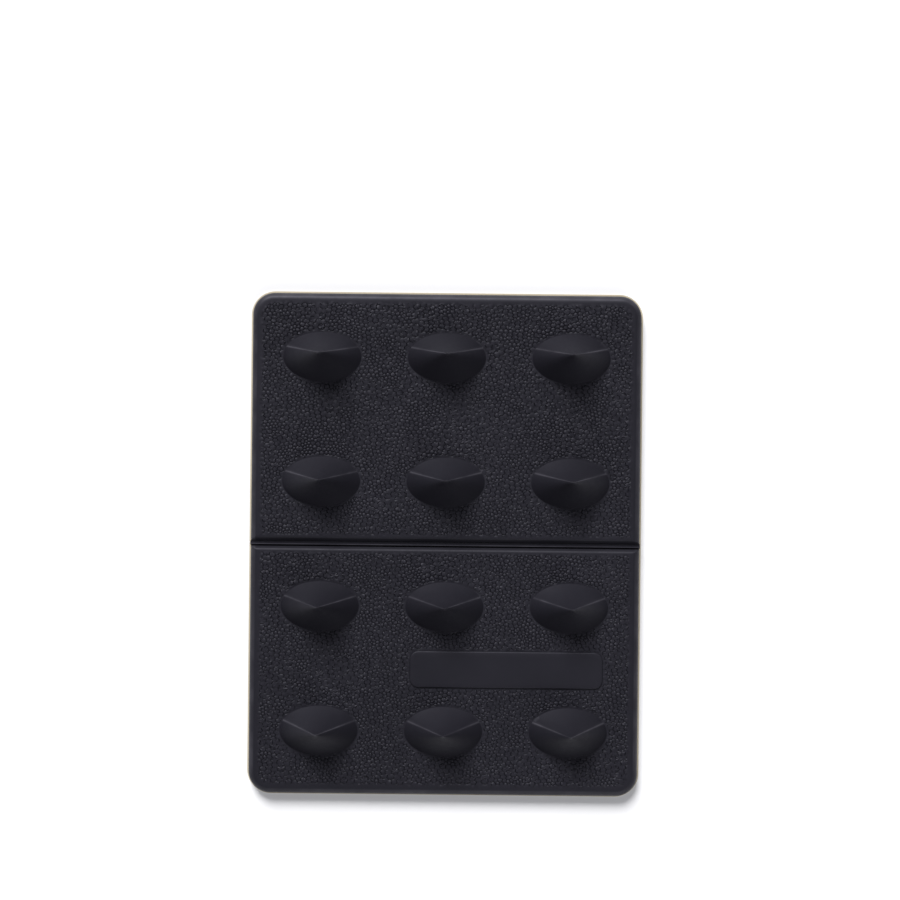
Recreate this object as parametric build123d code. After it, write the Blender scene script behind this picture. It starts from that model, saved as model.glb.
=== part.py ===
from build123d import *
import os

# Snowboard stomp pad: a moulded rubber tread with twelve fin-shaped teeth and a fold groove across its
# middle, an adhesive sheet under each half and a release liner under each adhesive sheet.
# Frame: origin at the centre of the underside, +X right, +Y towards the rear half, +Z out of the teeth.
# All sizes are in millimetres.

# ---- driving dimensions ----
pad_width = 88.9
pad_length = 114.3
corner_radius = 5.0
tread_thickness = 2.8
border_round = 1.7

liner_thickness = 0.25
liner_overhang = 0.5
adhesive_thickness = 0.6
adhesive_inset = 0.4
adhesive_setback = 0.6
liner_gap = 0.2

web_thickness = 1.7
web_width = 1.0
groove_half_width = 1.3
shoulder_round = 0.8

tooth_columns = 3
rows_per_half = 2
tooth_pitch = 28.4
tooth_height = 10.5
tooth_half_width = 9.1
tooth_half_depth = 5.8
tooth_root_sink = 0.3
tooth_lean = 0.5
ridge_angle = 24.0
tooth_levels = [0.0, 0.2, 0.45, 0.72, 0.93]
width_taper = 1.12
front_taper = 1.15
rear_taper = 1.5

panel_length = 44.0
panel_width = 8.4
panel_height = 0.4
panel_corner = 2.0
panel_round = 0.3

# ---- levels and places ----
adhesive_floor = liner_thickness
tread_floor = adhesive_floor + adhesive_thickness
tread_top = tread_floor + tread_thickness
web_top = tread_floor + web_thickness
half_length = pad_length / 2
fin_height = tooth_height + tooth_root_sink
column_places = [tooth_pitch * (i - (tooth_columns - 1) / 2) for i in range(tooth_columns)]
row_places = [tooth_pitch * (i + 0.5) for i in range(rows_per_half)]


def half_sheet(width, inner_edge, outer_edge, radius, floor, thickness):
    """A flat sheet for the rear half: square at the fold, with rounded corners at its outer edge."""
    with BuildSketch(Plane.XY.offset(floor)) as sketch:
        with Locations((0, inner_edge)):
            Rectangle(width, outer_edge - inner_edge, align=(Align.CENTER, Align.MIN))
        fillet(sketch.vertices().group_by(Axis.Y)[-1], radius)
    return extrude(sketch.sketch, thickness)


def front_of(shape):
    """The same shape for the front half, mirrored across the fold."""
    return mirror(shape, Plane.XZ)


def groove_cutter():
    """The room over one flank of the fold groove, which rises from the web to a rounded shoulder."""
    past_shoulder = groove_half_width + shoulder_round
    above = tread_top + 1
    with BuildSketch(Plane.YZ) as sketch:
        with BuildLine():
            flank = FilletPolyline(
                (web_width / 2, web_top),
                (groove_half_width, tread_top),
                (past_shoulder, tread_top),
                radius=shoulder_round,
            )
            Polyline(flank @ 1, (past_shoulder, above), (0, above), (0, web_top), flank @ 0)
        make_face()
    return extrude(sketch.sketch, pad_width / 2 + 1, both=True)


def tread_sheet():
    """The rear half's bare sheet, with a round border on three sides and its flank of the groove."""
    inner_edge = web_width / 2
    sheet = half_sheet(pad_width, inner_edge, half_length, corner_radius, tread_floor, tread_thickness)
    top_edges = sheet.faces().sort_by(Axis.Z)[-1].edges()
    border = top_edges.sort_by(Axis.Y)[1:]
    return fillet(border, border_round) - groove_cutter()


def tooth_section(level):
    """A tooth's outline at a share of its height: a deep front arc and a flat rear arc meet at two ridges."""
    rest = 1 - level
    half_width = tooth_half_width * rest**width_taper
    front_depth = tooth_half_depth * rest**front_taper
    rear_depth = tooth_half_depth * rest**rear_taper
    front_sweep = 180 + 2 * ridge_angle
    with BuildSketch(Plane((0, tooth_lean * level, fin_height * level))) as sketch:
        with BuildLine():
            front = EllipticalCenterArc(
                (0, 0), half_width, front_depth, 180 - ridge_angle, arc_size=front_sweep
            )
            ThreePointArc(front @ 1, (0, rear_depth), front @ 0)
        make_face()
    return sketch.sketch


def tooth():
    """One pointed fin that leans back a little, with its root centred on the origin."""
    sections = [tooth_section(level) for level in tooth_levels]
    return loft(sections + [Vertex(0, tooth_lean, fin_height)])


def blank_panel():
    """The low smooth panel between the last two columns and rows of the front half."""
    root_sink = 0.2
    with BuildSketch(Plane.XY.offset(tread_top - root_sink)) as sketch:
        with Locations((tooth_pitch / 2, -tooth_pitch)):
            RectangleRounded(panel_length, panel_width, panel_corner)
    panel = extrude(sketch.sketch, panel_height + root_sink)
    return fillet(panel.faces().sort_by(Axis.Z)[-1].edges(), panel_round)


def with_teeth(sheet, side):
    """A sheet with its half of the teeth, on the rear side (1) or the front side (-1)."""
    fin = tooth()
    tread = sheet
    for x in column_places:
        for y in row_places:
            tread += Pos(x, side * y, tread_top - tooth_root_sink) * fin
    return tread


def fold_web():
    """The thin strip at the bottom of the groove, which bends when the pad folds."""
    with BuildSketch(Plane.XY.offset(tread_floor)) as sketch:
        Rectangle(pad_width, web_width)
    return extrude(sketch.sketch, web_thickness)


def adhesive_sheet():
    """The rear half's adhesive, a little smaller than the tread over it."""
    return half_sheet(
        pad_width - 2 * adhesive_inset,
        adhesive_setback,
        half_length - adhesive_inset,
        corner_radius - adhesive_inset,
        adhesive_floor,
        adhesive_thickness,
    )


def liner_sheet():
    """The rear half's release liner, a little larger than the tread over it."""
    return half_sheet(
        pad_width + 2 * liner_overhang,
        liner_gap / 2,
        half_length + liner_overhang,
        corner_radius + liner_overhang,
        0,
        liner_thickness,
    )


def main():
    os.makedirs("parts", exist_ok=True)
    nodes = {
        "rear_tread": with_teeth(tread_sheet(), 1),
        "front_tread": with_teeth(front_of(tread_sheet()), -1) + blank_panel(),
        "fold_web": fold_web(),
        "rear_adhesive": adhesive_sheet(),
        "front_adhesive": front_of(adhesive_sheet()),
        "rear_liner": liner_sheet(),
        "front_liner": front_of(liner_sheet()),
    }
    for name, shape in nodes.items():
        export_step(shape, f"parts/{name}.step")


main()
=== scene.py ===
import math

import bpy
import numpy as np
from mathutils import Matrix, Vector
from mathutils.geometry import delaunay_2d_cdt


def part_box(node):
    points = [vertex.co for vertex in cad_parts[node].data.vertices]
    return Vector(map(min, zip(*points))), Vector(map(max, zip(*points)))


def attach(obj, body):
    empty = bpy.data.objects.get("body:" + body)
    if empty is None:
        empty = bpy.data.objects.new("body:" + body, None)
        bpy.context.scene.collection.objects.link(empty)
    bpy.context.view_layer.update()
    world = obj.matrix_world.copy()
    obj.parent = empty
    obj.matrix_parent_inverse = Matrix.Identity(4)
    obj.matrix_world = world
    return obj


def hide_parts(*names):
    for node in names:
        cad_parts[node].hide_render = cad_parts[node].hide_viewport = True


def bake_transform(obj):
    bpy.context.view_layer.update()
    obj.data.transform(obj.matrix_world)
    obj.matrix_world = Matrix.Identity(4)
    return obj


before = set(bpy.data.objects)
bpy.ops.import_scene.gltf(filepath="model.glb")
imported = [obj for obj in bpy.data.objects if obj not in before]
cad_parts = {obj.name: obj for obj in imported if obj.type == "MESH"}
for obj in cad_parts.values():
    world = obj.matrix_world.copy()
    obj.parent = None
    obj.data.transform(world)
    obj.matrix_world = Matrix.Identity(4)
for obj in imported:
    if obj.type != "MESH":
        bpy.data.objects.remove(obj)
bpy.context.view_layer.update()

# A rubber stomp pad with fin-shaped teeth, lying on its release liners. Meshes are built in millimetres
# in the part's frame and turned into metres when they become objects.

MM = 0.001

# ---- places from the frame ----
tread_low, tread_high = (np.array(corner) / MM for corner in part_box("rear_tread"))
web_low, web_high = (np.array(corner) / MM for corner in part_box("fold_web"))
HALF_WIDTH = tread_high[0]
OUTER_EDGE = tread_high[1]
FOLD_EDGE = tread_low[1]
TREAD_FLOOR = tread_low[2]
TOOTH_TIP = tread_high[2]
WEB_TOP = web_high[2]

# ---- tread ----
TREAD_THICKNESS = 2.8
TREAD_TOP = TREAD_FLOOR + TREAD_THICKNESS
CORNER_RADIUS = 5.0
CORNER_POINTS = 13
BORDER_ROUND = 1.7
BORDER_POINTS = 8
BORDER_FLAT = 2.1
# Painted highlight with wear: the border's rounded edge is lightened in colour over the outer part of its
# round.
BORDER_WEAR_HIGHLIGHT = 0.5
BORDER_HIGHLIGHT_SHARE = 0.6
GROOVE_HALF_WIDTH = 1.3
SHOULDER_ROUND = 0.8
SHOULDER_POINTS = 7
FLANK_SHARES = (0, 0.33, 0.66)
FLANK_RUNOUT = 0.15
EDGE_STEP = 0.8

# ---- leather grain ----
CELL_SIZE = np.array([1.08, 0.9])
EVENING_PASSES = 3
VALLEY_HALF_WIDTH = 0.19
GRAIN_RELIEF = 0.115
GRAIN_FADE = 0.5
GRAIN_MARGIN = 3.0
GRAIN_ROOM = 0.15
GRAIN_PANEL_GAP = 0.1
CROWN_RANGE = (0.76, 1.0)
CROWN_SHOULDER = 0.9
SHOULDER_LEAST = 0.45
SADDLE_RELIEF = 0.12

# ---- teeth ----
TOOTH_PITCH = 28.4
TOOTH_HALF_WIDTH = 8.9
TOOTH_HALF_DEPTH = 5.6
RIDGE_ANGLE = math.radians(24)
WIDTH_TAPER = 1.12
FRONT_TAPER = 1.15
REAR_TAPER = 1.5
RIDGE_ROUND = 0.32
RIDGE_ROUND_SHARE = 0.45
ROUND_STEPS = [0, 0.25, 0.5, 0.75, 1]
# Ridge colour: polished wear and painted highlight, lightening the rounds of the ridges.
RIDGE_WEAR_HIGHLIGHT = np.array([0.15, 0.7, 1.0, 0.7, 0.15])
RIDGE_HIGHLIGHT_FADE = 20
TIP_BLUNT = 0.25
TIP_SHARE = 0.05
TIP_POWER = 1.2
# Tip colour: polished wear and painted highlight, lightening the blunt tip.
TIP_WEAR_HIGHLIGHT = 0.7
TIP_HIGHLIGHT_SHARE = 0.12
TOOTH_LEAN = 0.5
ROOT_LINE = 0.12
ROOT_POINTS = 26
LEAST_POINTS = 6
POINTS_TAPER = 0.6
SECTION_SHARES = [*np.linspace(1, 0.3, 12), 0.24, 0.18, 0.13, 0.085, 0.05]
TOOTH_COLUMNS = [-TOOTH_PITCH, 0.0, TOOTH_PITCH]
TOOTH_ROWS = [TOOTH_PITCH * 0.5, TOOTH_PITCH * 1.5]

# ---- blank panel on the front half ----
PANEL_CENTRE = np.array([TOOTH_PITCH / 2, -TOOTH_PITCH])
PANEL_SIZE = np.array([44.0, 8.4])
PANEL_CORNER = 2.0
PANEL_HEIGHT = 0.4
PANEL_ROUND = 0.3
PANEL_ROUND_POINTS = 5
PANEL_CORNER_POINTS = 7
PANEL_DRAFT = 0.03
# Painted highlight with wear: the panel's rounded edge is faintly lightened in colour.
PANEL_EDGE_HIGHLIGHT = 0.05
PANEL_STEP = 1.2

# ---- web at the bottom of the groove ----
BEAD_PLACE = -0.22
BEAD_HEIGHT = 0.62
BEAD_HALF_WIDTH = 0.32
# Painted highlight with wear: the bead's crest is lightened in colour, a bright seam line lit or not.
BEAD_CREST_HIGHLIGHT = 0.45
BEAD_SHARES = np.array([-1.0, -0.8, -0.6, -0.4, -0.2, 0.0, 0.2, 0.4, 0.6, 0.8, 1.0])
WEB_STEP = 2.0

# ---- meshes in general ----
PLAIN_RELIEF = 0.5
SAME_POINT = 1e-6
FAR_AWAY = 99.0
SHARP_ANGLE = math.radians(40)

# ---- colours, linear ----
RUBBER_DARK, RUBBER_LIGHT = (0.0085, 0.0081, 0.0118), (0.0110, 0.0105, 0.0150)
# Painted shade: the colour laid into the grain's valleys, darkening them where shade falls.
RUBBER_VALLEY_SHADE = (0.0022, 0.0021, 0.0031)
# Worn edge colour, also a painted highlight: crests, ridges, tips and rounded edges are lightened towards
# it.
RUBBER_WORN_HIGHLIGHT = (0.050, 0.048, 0.058)
RUBBER_GLOSS_TINT = (0.88, 0.87, 1.0)
AMBER_DARK, AMBER_LIGHT = (0.44, 0.30, 0.12), (0.50, 0.36, 0.16)
PAPER_DARK, PAPER_LIGHT = (0.46, 0.40, 0.28), (0.52, 0.46, 0.34)
PAPER_CLOUD = (0.56, 0.51, 0.40)
FLOOR_DARK, FLOOR_LIGHT = (0.83, 0.83, 0.84), (0.86, 0.86, 0.87)
SKY = (0.93, 0.94, 1.0)

# ---- studio and camera, in metres ----
FLOOR_REACH = 40.0
FLOOR_DROP = 0.00002
SKY_LIGHT = 0.28
SKY_SEEN = 1.1
KEY_FROM, KEY_SPREAD, KEY_STRENGTH = (-0.20, 0.76, 0.62), 28, 4.6
FILL_FROM, FILL_SPREAD, FILL_STRENGTH = (0.25, -0.80, 0.55), 40, 0.9
CAMERA_HEIGHT = 0.400
CAMERA_PLACE = (0.0009, 0.0216)
CAMERA_TURN = math.radians(0.6)
FRAME_WIDTH = 0.2051
SENSOR_WIDTH = 36


def smoothstep(low, high, value):
    """0 below low, 1 above high, smooth between."""
    t = np.clip((value - low) / (high - low), 0, 1)
    return t * t * (3 - 2 * t)


class Sheet:
    """Points of a surface seen from above, with what each one carries, and the edges the mesh must keep."""

    def __init__(self):
        self.points = []
        self.heights = []
        self.relief = []
        self.wear = []
        self.edges = []
        self.count = 0

    def add(self, xy, height, relief=PLAIN_RELIEF, wear=0.0):
        """Adds points and returns their numbers."""
        xy = np.atleast_2d(xy)
        n = len(xy)
        self.points.append(xy)
        self.heights.append(np.broadcast_to(height, n).astype(float))
        self.relief.append(np.broadcast_to(relief, n).astype(float))
        self.wear.append(np.broadcast_to(wear, n).astype(float))
        first = self.count
        self.count += n
        return list(range(first, self.count))

    def keep_path(self, numbers):
        """Makes the mesh keep the edges along a path of points."""
        self.edges += list(zip(numbers[:-1], numbers[1:]))

    def triangles(self, outline):
        """Triangles inside the outline, as numbers of the points that were added."""
        xy = np.concatenate(self.points)
        flat = [Vector(p) for p in xy]
        out = delaunay_2d_cdt(flat, self.edges, [outline], 1, SAME_POINT)
        source = [orig[0] for orig in out[3]]
        return [[source[i] for i in face] for face in out[2]]

    def columns(self):
        """The points' places, heights, relief, and their wear with painted highlight, each as one array."""
        parts = (self.points, self.heights, self.relief, self.wear)
        return [np.concatenate(part) for part in parts]


# ---- the sheet's own heights ----


def border_drop(inset):
    """How far the round border is below the top, at an inset from the outline."""
    inset = np.clip(inset, 0, BORDER_ROUND)
    return BORDER_ROUND - np.sqrt(2 * BORDER_ROUND * inset - inset**2)


def flank_profile():
    """Distance from the fold against height, from the web up the flank and over its rounded shoulder."""
    run = GROOVE_HALF_WIDTH - FOLD_EDGE
    slope = math.atan2(TREAD_TOP - WEB_TOP, run)
    back = SHOULDER_ROUND * math.tan(slope / 2)
    turn = np.linspace(slope, 0, SHOULDER_POINTS)
    centre = np.array([GROOVE_HALF_WIDTH + back, TREAD_TOP - SHOULDER_ROUND])
    arc = centre + SHOULDER_ROUND * np.stack([-np.sin(turn), np.cos(turn)], 1)
    foot = np.array([FOLD_EDGE, WEB_TOP])
    climb = [foot + (arc[0] - foot) * share for share in FLANK_SHARES]
    return np.vstack([climb, arc, [[arc[-1, 0] + FLANK_RUNOUT, TREAD_TOP]]])


FLANK = flank_profile()
GROOVE_FLAT = FLANK[-1, 0]


def sheet_height(inset, from_fold):
    """The bare sheet's height, which the border and the groove's flank cut down."""
    return np.minimum(TREAD_TOP - border_drop(inset), np.interp(from_fold, FLANK[:, 0], FLANK[:, 1]))


def spaced(low, high, step):
    """Numbers from low to high at about the given step."""
    return np.linspace(low, high, max(2, int(round(abs(high - low) / step)) + 1))


def border_ring(inset, side):
    """The outline moved inwards, from the fold round the three outer sides and back to the fold."""
    x = HALF_WIDTH - inset
    corner = CORNER_RADIUS - inset
    straight_end = OUTER_EDGE - CORNER_RADIUS
    up = np.concatenate([FLANK[:, 0], spaced(GROOVE_FLAT, straight_end, EDGE_STEP)[1:]])
    right = np.stack([np.full(len(up), x), up], 1)
    turn = np.linspace(0, math.pi / 2, CORNER_POINTS)[1:]
    centre = np.array([HALF_WIDTH - CORNER_RADIUS, straight_end])
    arc = centre + corner * np.stack([np.cos(turn), np.sin(turn)], 1)
    across = spaced(HALF_WIDTH - CORNER_RADIUS, 0, EDGE_STEP)[1:]
    top = np.stack([across, np.full(len(across), OUTER_EDGE - inset)], 1)
    half = np.vstack([right, arc, top])
    ring = np.vstack([half, half[-2::-1] * [-1, 1]])
    heights = sheet_height(inset, ring[:, 1])
    return ring * [1, side], heights


def lay_border(sheet, side):
    """The rings of the border, outermost first, as lists of point numbers."""
    arc_insets = BORDER_ROUND * (1 - np.cos(np.linspace(0, math.pi / 2, BORDER_POINTS)))
    rings = []
    for inset in [*arc_insets, BORDER_FLAT]:
        ring, heights = border_ring(inset, side)
        # Painted highlight with wear on the border's round.
        wear = BORDER_WEAR_HIGHLIGHT * (0 < inset < BORDER_ROUND * BORDER_HIGHLIGHT_SHARE)
        rings.append(sheet.add(ring, heights, wear=wear))
    return rings


def lay_flank(sheet, side):
    """The rows of the groove's flank between the border rings, lowest first, as lists of point numbers."""
    reach = HALF_WIDTH - BORDER_FLAT
    across = spaced(-reach, reach, EDGE_STEP)[1:-1]
    rows = []
    for from_fold, height in FLANK:
        row = np.stack([across, np.full(len(across), side * from_fold)], 1)
        rows.append(sheet.add(row, height))
    return rows


def outline_of(rings, rows):
    """The closed outline: the outermost ring, then along the fold through every ring's end."""
    left_ends = [ring[-1] for ring in rings[1:]]
    right_ends = [ring[0] for ring in rings[:0:-1]]
    return rings[0] + left_ends + rows[0] + right_ends


# ---- teeth ----


def tooth_outline(rest):
    """A tooth's section where `rest` of its height is still above: (points, numbers of the two ridges)."""
    half_width = TOOTH_HALF_WIDTH * rest**WIDTH_TAPER
    front_depth = TOOTH_HALF_DEPTH * rest**FRONT_TAPER
    rear_depth = TOOTH_HALF_DEPTH * rest**REAR_TAPER
    count = max(LEAST_POINTS, int(ROOT_POINTS * rest**POINTS_TAPER))
    turn = np.linspace(math.pi - RIDGE_ANGLE, 2 * math.pi + RIDGE_ANGLE, 2 * count + 1)
    front = np.stack([half_width * np.cos(turn), front_depth * np.sin(turn)], 1)
    right, left = front[-1], front[0]
    share = np.linspace(1, -1, count + 3)
    x = right[0] * share
    oval = rear_depth * np.sqrt(1 - (share * math.cos(RIDGE_ANGLE)) ** 2)
    chord = right[1] + (rear_depth - right[1]) * (1 - share**2)
    base_like = rest**4
    rear = np.stack([x, base_like * oval + (1 - base_like) * chord], 1)
    rear[0], rear[-1] = right, left
    return np.vstack([front, rear[1:-1]]), (0, 2 * count)


def with_round_ridges(outline, ridges):
    """The section with each ridge point swapped for a small round: (points, numbers along each round)."""
    n = len(outline)
    rounded, rounds = [], []
    for i, point in enumerate(outline):
        if i not in ridges:
            rounded.append(point)
            continue
        ends = []
        for neighbour in (outline[i - 1], outline[(i + 1) % n]):
            gap = neighbour - point
            length = np.linalg.norm(gap)
            ends.append(point + gap * min(RIDGE_ROUND, RIDGE_ROUND_SHARE * length) / length)
        rounds.append(range(len(rounded), len(rounded) + len(ROUND_STEPS)))
        for t in ROUND_STEPS:
            rounded.append((1 - t) ** 2 * ends[0] + 2 * t * (1 - t) * point + t**2 * ends[1])
    return np.array(rounded), rounds


def lay_tooth(sheet, centre):
    """A fin with two rounded ridges and a blunt tip."""
    full_height = TOOTH_TIP - TREAD_TOP
    root, _ = tooth_outline(1.0)
    outward = root / [TOOTH_HALF_WIDTH**2, TOOTH_HALF_DEPTH**2]
    outward /= np.linalg.norm(outward, axis=1)[:, None]
    sheet.add(centre + root + outward * ROOT_LINE, TREAD_TOP)
    previous, last_rounds = [], []
    for rest in SECTION_SHARES:
        outline, ridges = tooth_outline(rest)
        outline, rounds = with_round_ridges(outline, ridges)
        height = TREAD_TOP + full_height * (1 - rest)
        height -= TIP_BLUNT * np.exp(-((rest / TIP_SHARE) ** TIP_POWER))
        # Painted highlight with wear: the tip and the ridge rounds are lightened in colour.
        wear = np.full(len(outline), max(0.0, TIP_WEAR_HIGHLIGHT * (1 - rest / TIP_HIGHLIGHT_SHARE)))
        for numbers in rounds:
            wear[numbers] = np.maximum(wear[numbers], np.minimum(RIDGE_WEAR_HIGHLIGHT, rest * RIDGE_HIGHLIGHT_FADE))
        outline = outline + [0, TOOTH_LEAN * (1 - rest)]
        numbers = sheet.add(centre + outline, height, wear=wear)
        for above, below in zip(rounds, last_rounds):
            sheet.edges += [(previous[i], numbers[j]) for i, j in zip(below, above)]
        previous, last_rounds = numbers, rounds
    tip = sheet.add(centre + [0, TOOTH_LEAN], TOOTH_TIP - TIP_BLUNT, wear=TIP_WEAR_HIGHLIGHT)
    sheet.edges += [(previous[numbers[len(numbers) // 2]], tip[0]) for numbers in last_rounds]


def tooth_clearance(xy, centres):
    """How far each point is outside the nearest tooth's root, about, in millimetres."""
    nearest = np.full(len(xy), FAR_AWAY)
    for centre in centres:
        away = xy - centre
        scaled = np.hypot(away[:, 0] / TOOTH_HALF_WIDTH, away[:, 1] / TOOTH_HALF_DEPTH)
        reach = np.hypot(*away.T) * (1 - 1 / np.maximum(scaled, SAME_POINT))
        nearest = np.minimum(nearest, reach)
    return nearest - ROOT_LINE


# ---- blank panel ----


def rounded_box(size, corner):
    """A rounded rectangle's points round the origin, counter-clockwise."""
    inner = size / 2 - corner
    points = []
    for k, (sx, sy) in enumerate([(1, 1), (-1, 1), (-1, -1), (1, -1)]):
        turn = np.linspace(0, math.pi / 2, PANEL_CORNER_POINTS) + k * math.pi / 2
        points.append(np.array([sx, sy]) * inner + corner * np.stack([np.cos(turn), np.sin(turn)], 1))
    points = np.vstack(points)
    filled = []
    for a, b in zip(points, np.roll(points, -1, axis=0)):
        steps = max(1, int(np.linalg.norm(b - a) / EDGE_STEP))
        filled += [a + (b - a) * i / steps for i in range(steps)]
    return np.array(filled)


def lay_panel(sheet):
    """A low smooth panel with a rounded top edge."""
    turn = np.linspace(0, math.pi / 2, PANEL_ROUND_POINTS)
    insets = [0.0, PANEL_DRAFT, *(PANEL_DRAFT + PANEL_ROUND * (1 - np.cos(turn[1:])))]
    rises = [0.0, PANEL_HEIGHT - PANEL_ROUND, *(PANEL_HEIGHT - PANEL_ROUND * (1 - np.sin(turn[1:])))]
    for inset, rise in zip(insets, rises):
        loop = PANEL_CENTRE + rounded_box(PANEL_SIZE - 2 * inset, PANEL_CORNER - inset)
        # Painted highlight with wear on the panel's rounded edge.
        numbers = sheet.add(loop, TREAD_TOP + rise, wear=PANEL_EDGE_HIGHLIGHT * (0 < rise < PANEL_HEIGHT))
        sheet.keep_path(numbers + numbers[:1])
    reach = PANEL_SIZE / 2 - PANEL_STEP
    xs, ys = (spaced(-half, half, PANEL_STEP) for half in reach)
    grid = np.stack(np.meshgrid(xs, ys), -1).reshape(-1, 2)
    sheet.add(PANEL_CENTRE + grid, TREAD_TOP + PANEL_HEIGHT)


def panel_clearance(xy):
    """How far each point is outside the panel."""
    over = np.abs(xy - PANEL_CENTRE) - (PANEL_SIZE / 2 - PANEL_CORNER)
    outside = np.hypot(*np.maximum(over, 0).T)
    return outside + np.minimum(over.max(axis=1), 0) - PANEL_CORNER


# ---- leather grain ----


def triangulated(points):
    """Delaunay triangles of scattered points, as point numbers."""
    result = delaunay_2d_cdt([Vector(p) for p in points], [], [], 0, SAME_POINT)
    source = np.array([orig[0] for orig in result[3]])
    return source[np.array(result[2])]


def cell_centres(side, rng):
    """Centres of the grain's cells over a whole half: strewn at random, then evened out a little."""
    low = np.array([-HALF_WIDTH - GRAIN_MARGIN, -GRAIN_MARGIN]) / CELL_SIZE
    high = np.array([HALF_WIDTH + GRAIN_MARGIN, OUTER_EDGE + GRAIN_MARGIN]) / CELL_SIZE
    centres = rng.uniform(low, high, (int(np.prod(high - low)), 2))
    for _ in range(EVENING_PASSES):
        corners = triangulated(centres)
        middles = centres[corners].mean(axis=1)
        (ax, ay), (bx, by) = (centres[corners[:, k]].T - centres[corners[:, 0]].T for k in (1, 2))
        areas = np.abs(ax * by - ay * bx)[:, None]
        weighted = np.hstack([middles * areas, areas])
        total = np.zeros((len(centres), 3))
        for k in range(3):
            np.add.at(total, corners[:, k], weighted)
        centres = total[:, :2] / total[:, 2:]
    return centres * CELL_SIZE * [1, side]


def pebbles(side, rng):
    """Points of the grain over a whole half: (places, relief from 0 in a valley to 1 on a pebble)."""
    centres = cell_centres(side, rng)
    crown = rng.uniform(*CROWN_RANGE, len(centres))
    corners = triangulated(centres)
    junctions = centres[corners].mean(axis=1)
    pairs = np.concatenate([corners[:, [0, 1]], corners[:, [1, 2]], corners[:, [2, 0]]])
    pairs = np.unique(np.sort(pairs, axis=1), axis=0)
    saddles = centres[pairs].mean(axis=1)
    spokes = junctions[:, None] - centres[corners]
    reach = np.linalg.norm(spokes, axis=2, keepdims=True)
    shoulders = centres[corners] + spokes * np.maximum(1 - VALLEY_HALF_WIDTH / reach, SHOULDER_LEAST)
    places = np.vstack([centres, shoulders.reshape(-1, 2), junctions, saddles])
    rims = CROWN_SHOULDER * crown[corners].ravel()
    relief = np.concatenate([crown, rims, np.zeros(len(junctions)), np.full(len(saddles), SADDLE_RELIEF)])
    return places, relief


def lay_grain(sheet, side, centres, rng):
    """The pebbled field, which fades out towards the border, the groove, the teeth and the panel."""
    places, relief = pebbles(side, rng)
    from_fold = side * places[:, 1]
    over = np.abs(places) - [HALF_WIDTH - CORNER_RADIUS, OUTER_EDGE - CORNER_RADIUS]
    inset = CORNER_RADIUS - np.hypot(*np.maximum(over, 0).T)
    room = np.minimum(inset - BORDER_FLAT, from_fold - GROOVE_FLAT)
    room = np.minimum(room, tooth_clearance(places, centres))
    if side < 0:
        room = np.minimum(room, panel_clearance(places) - GRAIN_PANEL_GAP)
    inside = room > GRAIN_ROOM
    places, relief, room = places[inside], relief[inside], room[inside]
    fade = smoothstep(0, GRAIN_FADE, room)
    relief = PLAIN_RELIEF + (relief - PLAIN_RELIEF) * fade
    sheet.add(places, TREAD_TOP + GRAIN_RELIEF * (2 * relief - 1), relief=relief)


# ---- objects ----


def make_object(name, points, faces, attributes=()):
    """A smooth mesh object from points in millimetres, with named numbers on its points."""
    mesh = bpy.data.meshes.new(name)
    mesh.from_pydata((points * MM).tolist(), [], faces)
    for label, values in attributes:
        mesh.attributes.new(label, "FLOAT", "POINT").data.foreach_set("value", values.astype(np.float32))
    mesh.update()
    mesh.shade_smooth()
    mesh.set_sharp_from_angle(angle=SHARP_ANGLE)
    piece = bpy.data.objects.new(name, mesh)
    bpy.context.scene.collection.objects.link(piece)
    return piece


def tread_half(name, side, seed):
    """A half of the moulded tread as one closed mesh."""
    rng = np.random.default_rng(seed)
    centres = [np.array([x, side * y]) for x in TOOTH_COLUMNS for y in TOOTH_ROWS]
    sheet = Sheet()
    outline = outline_of(lay_border(sheet, side), lay_flank(sheet, side))
    for centre in centres:
        lay_tooth(sheet, centre)
    if side < 0:
        lay_panel(sheet)
    lay_grain(sheet, side, centres, rng)
    faces = sheet.triangles(outline)
    xy, heights, relief, wear = sheet.columns()
    top = np.column_stack([xy, heights])
    floor = top[outline] * [1, 1, 0] + [0, 0, TREAD_FLOOR]
    count = len(top)
    for i in range(len(outline)):
        j = (i + 1) % len(outline)
        wall = [outline[i], count + i, count + j, outline[j]]
        faces.append(wall[::side])
    faces.append([count + i for i in range(len(outline))][::-side])
    points = np.vstack([top, floor])
    # Relief drives the grain's height and its painted valley shade; wear carries polished wear and painted
    # highlight.
    attributes = [
        ("relief", np.append(relief, np.full(len(outline), PLAIN_RELIEF))),
        ("wear", np.append(wear, np.zeros(len(outline)))),
    ]
    return make_object(name, points, faces, attributes)


def fold_strip(name):
    """The web between the halves: a strip with a narrow bead along it, its crest lightened in colour as
    wear and painted highlight.
    """
    across = np.concatenate([[web_low[1]], BEAD_PLACE + BEAD_HALF_WIDTH * BEAD_SHARES, [web_high[1]]])
    bead = (1 - np.minimum(np.abs(across - BEAD_PLACE) / BEAD_HALF_WIDTH, 1) ** 2) ** 2
    crest = [(y, WEB_TOP + BEAD_HEIGHT * share) for y, share in zip(across, bead)]
    section = crest + [(y, web_low[2]) for y, _ in crest[::-1]]
    # Painted highlight with wear along the bead's crest.
    rubbed_highlight = np.concatenate([BEAD_CREST_HIGHLIGHT * bead**2, np.zeros(len(crest))])
    along = spaced(-HALF_WIDTH, HALF_WIDTH, WEB_STEP)
    count = len(section)
    points = np.array([(x, y, z) for x in along for y, z in section])
    faces = []
    for i in range(len(along) - 1):
        for j in range(count):
            k = (j + 1) % count
            faces.append([i * count + j, (i + 1) * count + j, (i + 1) * count + k, i * count + k])
    faces.append(list(range(count)))
    faces.append([(len(along) - 1) * count + j for j in range(count)][::-1])
    attributes = [("relief", np.full(len(points), PLAIN_RELIEF)), ("wear", np.tile(rubbed_highlight, len(along)))]
    return make_object(name, points, faces, attributes)


# ---- materials ----


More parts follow.
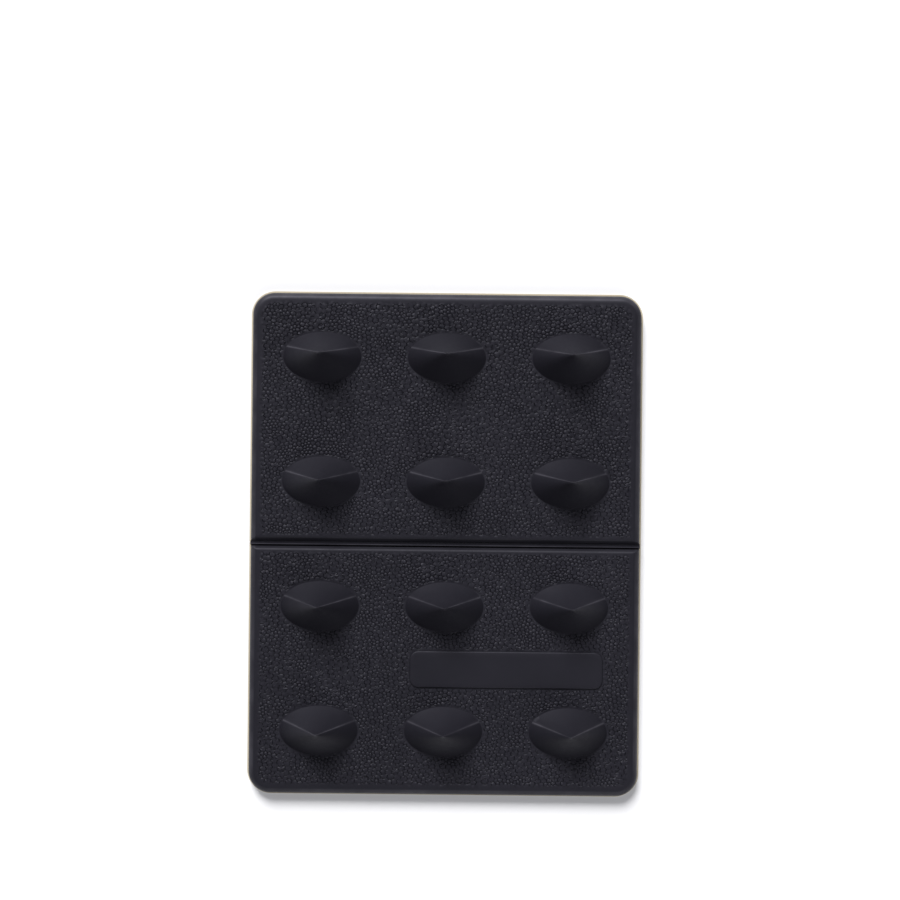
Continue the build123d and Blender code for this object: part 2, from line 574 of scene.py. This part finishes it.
def new_material(name):
    """A material with its node tree, its shader node and a place for more nodes."""
    material = bpy.data.materials.new(name)
    material.use_nodes = True
    tree = material.node_tree
    return material, tree, tree.nodes["Principled BSDF"]


def node(tree, kind, values=None, **settings):
    """A node with its settings and the values of its unlinked inputs."""
    made = tree.nodes.new(kind)
    for key, value in settings.items():
        setattr(made, key, value)
    for key, value in (values or {}).items():
        made.inputs[key].default_value = value
    return made


def noise(tree, scale, detail=4.0, roughness=0.55):
    """Noise in the part's own frame. The scale is in features for each metre."""
    place = node(tree, "ShaderNodeTexCoord")
    made = node(tree, "ShaderNodeTexNoise", {"Scale": scale, "Detail": detail, "Roughness": roughness})
    tree.links.new(place.outputs["Object"], made.inputs["Vector"])
    return made.outputs["Fac"]


def remap(tree, source, low, high, to_low, to_high):
    """The source from low..high mapped to to_low..to_high, held at both ends."""
    made = node(tree, "ShaderNodeMapRange", {1: low, 2: high, 3: to_low, 4: to_high})
    tree.links.new(source, made.inputs[0])
    return made.outputs[0]


def mixed(tree, factor, dark, light):
    """A colour between two, by a factor. Either colour may be a socket."""
    made = node(tree, "ShaderNodeMix", data_type="RGBA")
    tree.links.new(factor, made.inputs["Factor"])
    for socket, value in ((made.inputs[6], dark), (made.inputs[7], light)):
        if isinstance(value, tuple):
            socket.default_value = (*value, 1)
        else:
            tree.links.new(value, socket)
    return made.outputs[2]


def calculated(tree, operation, first, second):
    """A Math node on two values, either of which may be a socket."""
    made = node(tree, "ShaderNodeMath", operation=operation)
    for socket, value in zip(made.inputs, (first, second)):
        if isinstance(value, (int, float)):
            socket.default_value = value
        else:
            tree.links.new(value, socket)
    return made.outputs[0]


def bumped(tree, shader, height, strength, distance):
    """Gives the shader a bump from a height. The distance is in metres."""
    bump = node(tree, "ShaderNodeBump", {"Strength": strength, "Distance": distance})
    tree.links.new(height, bump.inputs["Height"])
    tree.links.new(bump.outputs["Normal"], shader.inputs["Normal"])


def rubber():
    """Black moulded rubber: a faint bluish tone, painted shade in the grain's valleys, and crests and edges
    that are polished and lightened in colour as wear and painted highlight.
    """
    material, tree, shader = new_material("moulded_rubber")
    relief = node(tree, "ShaderNodeAttribute", attribute_name="relief").outputs["Fac"]
    wear = node(tree, "ShaderNodeAttribute", attribute_name="wear").outputs["Fac"]
    patches = remap(tree, noise(tree, 45, 3), 0.35, 0.65, 0, 1)
    base = mixed(tree, patches, RUBBER_DARK, RUBBER_LIGHT)
    # Painted shade in the grain: the lower the relief, the nearer the colour comes to the dark valley
    # colour.
    valley_shaded = mixed(tree, remap(tree, relief, 0.0, 0.6, 0, 1), RUBBER_VALLEY_SHADE, base)
    # Wear and painted highlight: the wear attribute, broken up by noise, lightens the colour of crests and
    # edges.
    rubbed_highlight = calculated(tree, "MULTIPLY", wear, remap(tree, noise(tree, 170, 2), 0.35, 0.65, 0.35, 1.0))
    edge_highlighted = mixed(tree, rubbed_highlight, valley_shaded, RUBBER_WORN_HIGHLIGHT)
    tree.links.new(edge_highlighted, shader.inputs["Base Color"])
    satin = remap(tree, noise(tree, 700, 4), 0.3, 0.7, 0.52, 0.60)
    rough = calculated(tree, "SUBTRACT", satin, calculated(tree, "MULTIPLY", wear, 0.15))
    tree.links.new(rough, shader.inputs["Roughness"])
    shader.inputs["Specular IOR Level"].default_value = 0.24
    shader.inputs["Specular Tint"].default_value = (*RUBBER_GLOSS_TINT, 1)
    bumped(tree, shader, noise(tree, 7000, 3, 0.6), 0.25, 0.00004)
    return material


def adhesive():
    """Clear amber pressure-sensitive adhesive with a faint ripple."""
    material, tree, shader = new_material("amber_adhesive")
    streaks = remap(tree, noise(tree, 70, 2), 0.35, 0.65, 0, 1)
    colour = mixed(tree, streaks, AMBER_DARK, AMBER_LIGHT)
    tree.links.new(colour, shader.inputs["Base Color"])
    tree.links.new(remap(tree, noise(tree, 90, 2), 0.3, 0.7, 0.24, 0.32), shader.inputs["Roughness"])
    bumped(tree, shader, noise(tree, 60, 1), 0.2, 0.0001)
    return material


def liner():
    """Pale coated paper with a fine fibre and a soft gloss."""
    material, tree, shader = new_material("coated_liner_paper")
    fibre = remap(tree, noise(tree, 2600, 6, 0.7), 0.3, 0.7, 0, 1)
    clouds = remap(tree, noise(tree, 60, 3), 0.3, 0.7, 0, 1)
    body = mixed(tree, fibre, PAPER_DARK, PAPER_LIGHT)
    colour = mixed(tree, calculated(tree, "MULTIPLY", clouds, 0.35), body, PAPER_CLOUD)
    tree.links.new(colour, shader.inputs["Base Color"])
    tree.links.new(remap(tree, fibre, 0, 1, 0.42, 0.52), shader.inputs["Roughness"])
    shader.inputs["Specular IOR Level"].default_value = 0.35
    bumped(tree, shader, noise(tree, 3200, 5, 0.7), 0.15, 0.00003)
    return material


def floor_material():
    """Plain pale studio surface."""
    material, tree, shader = new_material("studio_floor")
    colour = mixed(tree, noise(tree, 8, 2), FLOOR_DARK, FLOOR_LIGHT)
    tree.links.new(colour, shader.inputs["Base Color"])
    shader.inputs["Roughness"].default_value = 0.7
    return material


def dress(piece, material):
    """Puts a material in every slot of a piece, or of a carried-over node, without touching its mesh."""
    if not piece.material_slots:
        piece.data.materials.append(material)
    for slot in piece.material_slots:
        slot.link = "OBJECT"
        slot.material = material


# ---- studio ----


def soft_light(name, towards, spread, strength):
    """A distant soft light that lies towards a direction: its spread in degrees, its strength in W/m2."""
    data = bpy.data.lights.new(name, "SUN")
    data.angle = math.radians(spread)
    data.energy = strength
    lamp = bpy.data.objects.new(name, data)
    lamp.rotation_mode = "QUATERNION"
    lamp.rotation_quaternion = Vector(towards).to_track_quat("Z", "Y")
    bpy.context.scene.collection.objects.link(lamp)


def surround():
    """A pale surround: dim as a light on the object, white behind it like the floor."""
    world = bpy.data.worlds.new("studio")
    world.use_nodes = True
    tree = world.node_tree
    sky = tree.nodes["Background"]
    sky.inputs["Color"].default_value = (*SKY, 1)
    seen = node(tree, "ShaderNodeLightPath").outputs["Is Camera Ray"]
    tree.links.new(remap(tree, seen, 0, 1, SKY_LIGHT, SKY_SEEN), sky.inputs["Strength"])
    bpy.context.scene.world = world


def studio():
    """A wide pale floor and surround, a soft key light from behind on the left and a weak fill in front."""
    mesh = bpy.data.meshes.new("studio_floor")
    sides = [(-1, -1), (1, -1), (1, 1), (-1, 1)]
    corners = [(x * FLOOR_REACH, y * FLOOR_REACH, -FLOOR_DROP) for x, y in sides]
    mesh.from_pydata(corners, [], [(0, 1, 2, 3)])
    floor = bpy.data.objects.new("studio_floor", mesh)
    bpy.context.scene.collection.objects.link(floor)
    dress(floor, floor_material())
    surround()
    soft_light("key", KEY_FROM, KEY_SPREAD, KEY_STRENGTH)
    soft_light("fill", FILL_FROM, FILL_SPREAD, FILL_STRENGTH)
    bpy.context.scene.view_settings.view_transform = "Standard"


def camera():
    """Straight down over a point behind the pad's centre, with the rear half up."""
    data = bpy.data.cameras.new("camera")
    data.sensor_width = SENSOR_WIDTH
    data.lens = SENSOR_WIDTH * CAMERA_HEIGHT / FRAME_WIDTH
    data.clip_start, data.clip_end = 0.01, 10
    cam = bpy.data.objects.new("camera", data)
    cam.location = (*CAMERA_PLACE, CAMERA_HEIGHT + TREAD_TOP * MM)
    cam.rotation_euler = (0, 0, CAMERA_TURN)
    bpy.context.scene.collection.objects.link(cam)
    bpy.context.scene.camera = cam


def build():
    """The studio, the skins of the tread and the web, and the finish of the sheets under them."""
    camera()
    studio()
    black = rubber()
    for name, side, seed in (("rear", 1, 11), ("front", -1, 23)):
        skin = tread_half(f"{name}_tread_skin", side, seed)
        dress(skin, black)
        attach(skin, f"{name}_half")
        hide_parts(f"{name}_tread")
    web = fold_strip("fold_web_skin")
    dress(web, black)
    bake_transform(web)
    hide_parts("fold_web")
    glue, paper = adhesive(), liner()
    for name in ("rear", "front"):
        dress(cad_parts[f"{name}_adhesive"], glue)
        dress(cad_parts[f"{name}_liner"], paper)


build()
